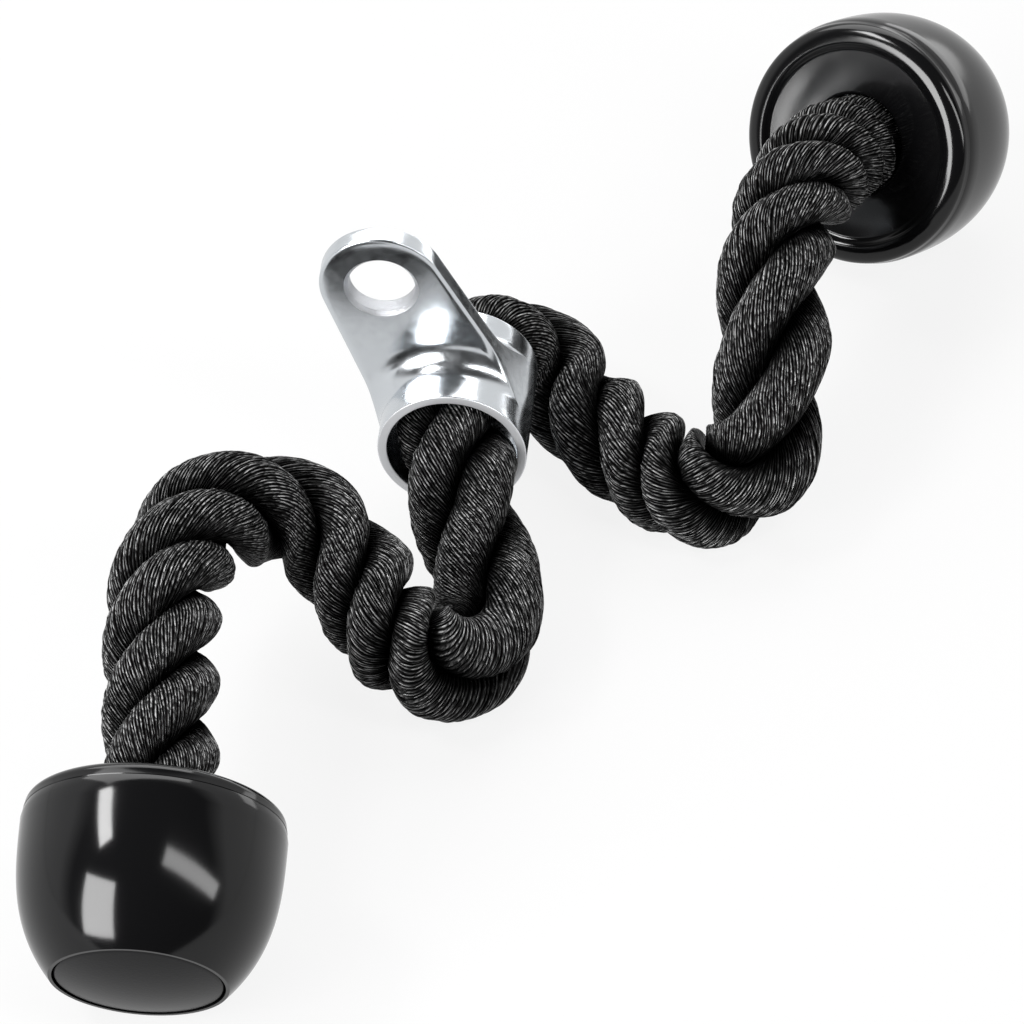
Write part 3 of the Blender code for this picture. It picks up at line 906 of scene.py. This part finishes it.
def make_cap(side):
    """A cap's moulded bell and the plug in its foot."""
    crest = CAP_MOUTH_RADIUS - CAP_LIP_WIDTH
    hole_edge = (CAP_HOLE_RADIUS + CAP_HOLE_ROUND, CAP_FACE_DEPTH + CAP_HOLE_ROUND)
    hole_round = arc(hole_edge, CAP_HOLE_ROUND, 180, 270, CAP_HOLE_STEPS)
    dish = []
    for share in np.linspace(0, 1, DISH_POINTS):
        rise = (1 + math.cos(math.pi * share)) / 2
        dish.append((CAP_FACE_RADIUS + (crest - CAP_FACE_RADIUS) * share, CAP_FACE_DEPTH * rise))
    lip = []
    for radius, height in arc((0, 0), 1, -90, 0, LIP_STEPS)[1:]:
        lip.append((crest + radius * CAP_LIP_WIDTH, CAP_LIP_ROUND * (1 + height)))
    growth = (CAP_BELLY_RADIUS - CAP_MOUTH_RADIUS) / (CAP_BELLY_START - CAP_LIP_ROUND)
    side_radius = CAP_MOUTH_RADIUS + growth * (PARTING_HEIGHT - CAP_LIP_ROUND)
    parting = [
        (side_radius, PARTING_HEIGHT - PARTING_WIDTH / 2),
        (side_radius - PARTING_DEPTH, PARTING_HEIGHT),
        (side_radius, PARTING_HEIGHT + PARTING_WIDTH / 2),
    ]
    belly = []
    for share in np.linspace(0, 1, BELLY_POINTS) ** BELLY_SPACING:
        radius = CAP_BELLY_RADIUS - (CAP_BELLY_RADIUS - CAP_FOOT_RADIUS) * share ** CAP_BELLY_POWER
        belly.append((radius, CAP_BELLY_START + (CAP_LENGTH - CAP_BELLY_START) * share))
    seat = CAP_FOOT_RADIUS - SEAT_EDGE
    inside = [
        (seat, CAP_LENGTH),
        (seat, CAP_LENGTH - SEAT_DEPTH),
        (CAVITY_RADIUS, CAP_LENGTH - SEAT_DEPTH),
        (CAVITY_RADIUS, CAP_WALL_START),
        (CAP_HOLE_RADIUS, CAP_WALL_START),
    ]
    shell = turned(side + "_cap_bell", [*hole_round, *dish, *lip, *parting, *belly, *inside])
    shell.data.materials.append(cap_material())
    plug_radius = seat - PLUG_GAP
    edge_centre = (plug_radius - PLUG_EDGE_ROUND, CAP_LENGTH - PLUG_EDGE_ROUND)
    edge = arc(edge_centre, PLUG_EDGE_ROUND, 0, PLUG_EDGE_END, PLUG_EDGE_STEPS)
    rim_radius, rim_height = edge[-1]
    crown = CAP_LENGTH + PLUG_DOME
    dome = []
    for share in np.linspace(1, 0, PLUG_DOME_POINTS)[1:]:
        dome.append((rim_radius * share, rim_height + (crown - rim_height) * (1 - share ** 2)))
    start = CAP_LENGTH - SEAT_DEPTH + PLUG_GAP
    plug = turned(side + "_cap_disc", [(0, start), (plug_radius, start), *edge, *dome])
    plug.data.materials.append(plug_material())
    for piece, node, slot in ((shell, "_cap_shell", "cap"), (plug, "_cap_plug", "plug")):
        piece.data.transform(cap_matrix(side))
        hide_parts(side + node)
        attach(piece, side + "_cap")


def make_floor():
    """A pale floor that glows faintly in what the object mirrors, and keeps the object's shadow."""
    far = FLOOR_HALF
    corners = [(-far, -far, 0), (far, -far, 0), (far, far, 0), (-far, far, 0)]
    floor = add_mesh("floor", corners, [(0, 1, 2, 3)])
    material, tree, shader = new_material("floor_white")
    path = add_node(tree, "ShaderNodeLightPath").outputs
    mirrored = calculate(tree, "MAXIMUM", path["Is Glossy Ray"], path["Is Transmission Ray"])
    faint = add_node(tree, "ShaderNodeMath", operation="MULTIPLY")
    tree.links.new(mirrored, faint.inputs[0])
    faint.inputs[1].default_value = FLOOR_MIRRORED
    level = scale_and_add(tree, path["Is Camera Ray"], FLOOR_SEEN, faint.outputs[0])
    tree.links.new(level, shader.inputs["Emission Strength"])
    set_inputs(shader, Base_Color=(0.07, 0.07, 0.07, 1), Roughness=0.9, Specular_IOR_Level=0)
    set_inputs(shader, Emission_Color=(1, 1, 1, 1))
    floor.data.materials.append(material)


def make_world():
    """White to the camera. Round the object, a dark room with a backdrop, white low down and behind."""
    world = bpy.data.worlds.new("surround")
    bpy.context.scene.world = world
    world.use_nodes = True
    tree = world.node_tree
    link = tree.links.new
    depth = add_node(tree, "ShaderNodeVectorMath", operation="DOT_PRODUCT")
    depth.inputs[1].default_value = BACKDROP_SLANT
    link(add_node(tree, "ShaderNodeTexCoord").outputs["Generated"], depth.inputs[0])
    white = spread(tree, depth.outputs["Value"], BACKDROP_EDGE, (ROOM_LEVEL, BACKDROP_LEVEL))
    mix = add_node(tree, "ShaderNodeMix", data_type="FLOAT")
    link(add_node(tree, "ShaderNodeLightPath").outputs["Is Camera Ray"], mix.inputs[0])
    link(white, mix.inputs[2])
    mix.inputs[3].default_value = 1.0
    back = tree.nodes["Background"]
    link(mix.outputs[0], back.inputs["Strength"])
    set_inputs(back, Color=(1, 1, 1, 1))


def make_lights():
    """Soft boxes round the object, hidden from the camera."""
    for name, (*angles, radiance) in SOFT_BOXES.items():
        heading, lift, wide, high, roll = (math.radians(angle) for angle in angles)
        light = bpy.data.lights.new(name, "AREA")
        light.shape = "RECTANGLE"
        light.size = 2 * BOX_DISTANCE * math.tan(wide / 2)
        light.size_y = 2 * BOX_DISTANCE * math.tan(high / 2)
        light.energy = radiance * math.pi * light.size * light.size_y
        level = math.cos(lift)
        towards = Vector((math.sin(heading) * level, math.cos(heading) * level, math.sin(lift)))
        lamp = add_object(name, light)
        lamp.visible_camera = False
        turn = towards.to_track_quat("Z", "Y").to_matrix().to_4x4() @ Matrix.Rotation(roll, 4, "Z")
        lamp.matrix_world = Matrix.Translation(towards * BOX_DISTANCE) @ turn


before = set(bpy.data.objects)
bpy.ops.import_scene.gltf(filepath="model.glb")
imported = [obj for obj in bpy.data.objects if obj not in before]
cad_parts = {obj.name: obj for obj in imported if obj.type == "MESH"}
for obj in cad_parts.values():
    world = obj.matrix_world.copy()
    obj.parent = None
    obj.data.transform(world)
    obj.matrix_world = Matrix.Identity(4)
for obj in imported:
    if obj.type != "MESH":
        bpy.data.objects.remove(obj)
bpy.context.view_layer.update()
bpy.context.scene.view_settings.view_transform = "Standard"
make_camera()
route = whole_route()
for side in CAPS:
    make_rope(side, route)
make_bracket()
for side in CAPS:
    make_cap(side)
    for hidden in ("_stop_washer", "_ferrule"):
        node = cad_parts[side + hidden]
        node.data.materials.clear()
        node.data.materials.append(machined_material())
make_floor()
make_world()
make_lights()
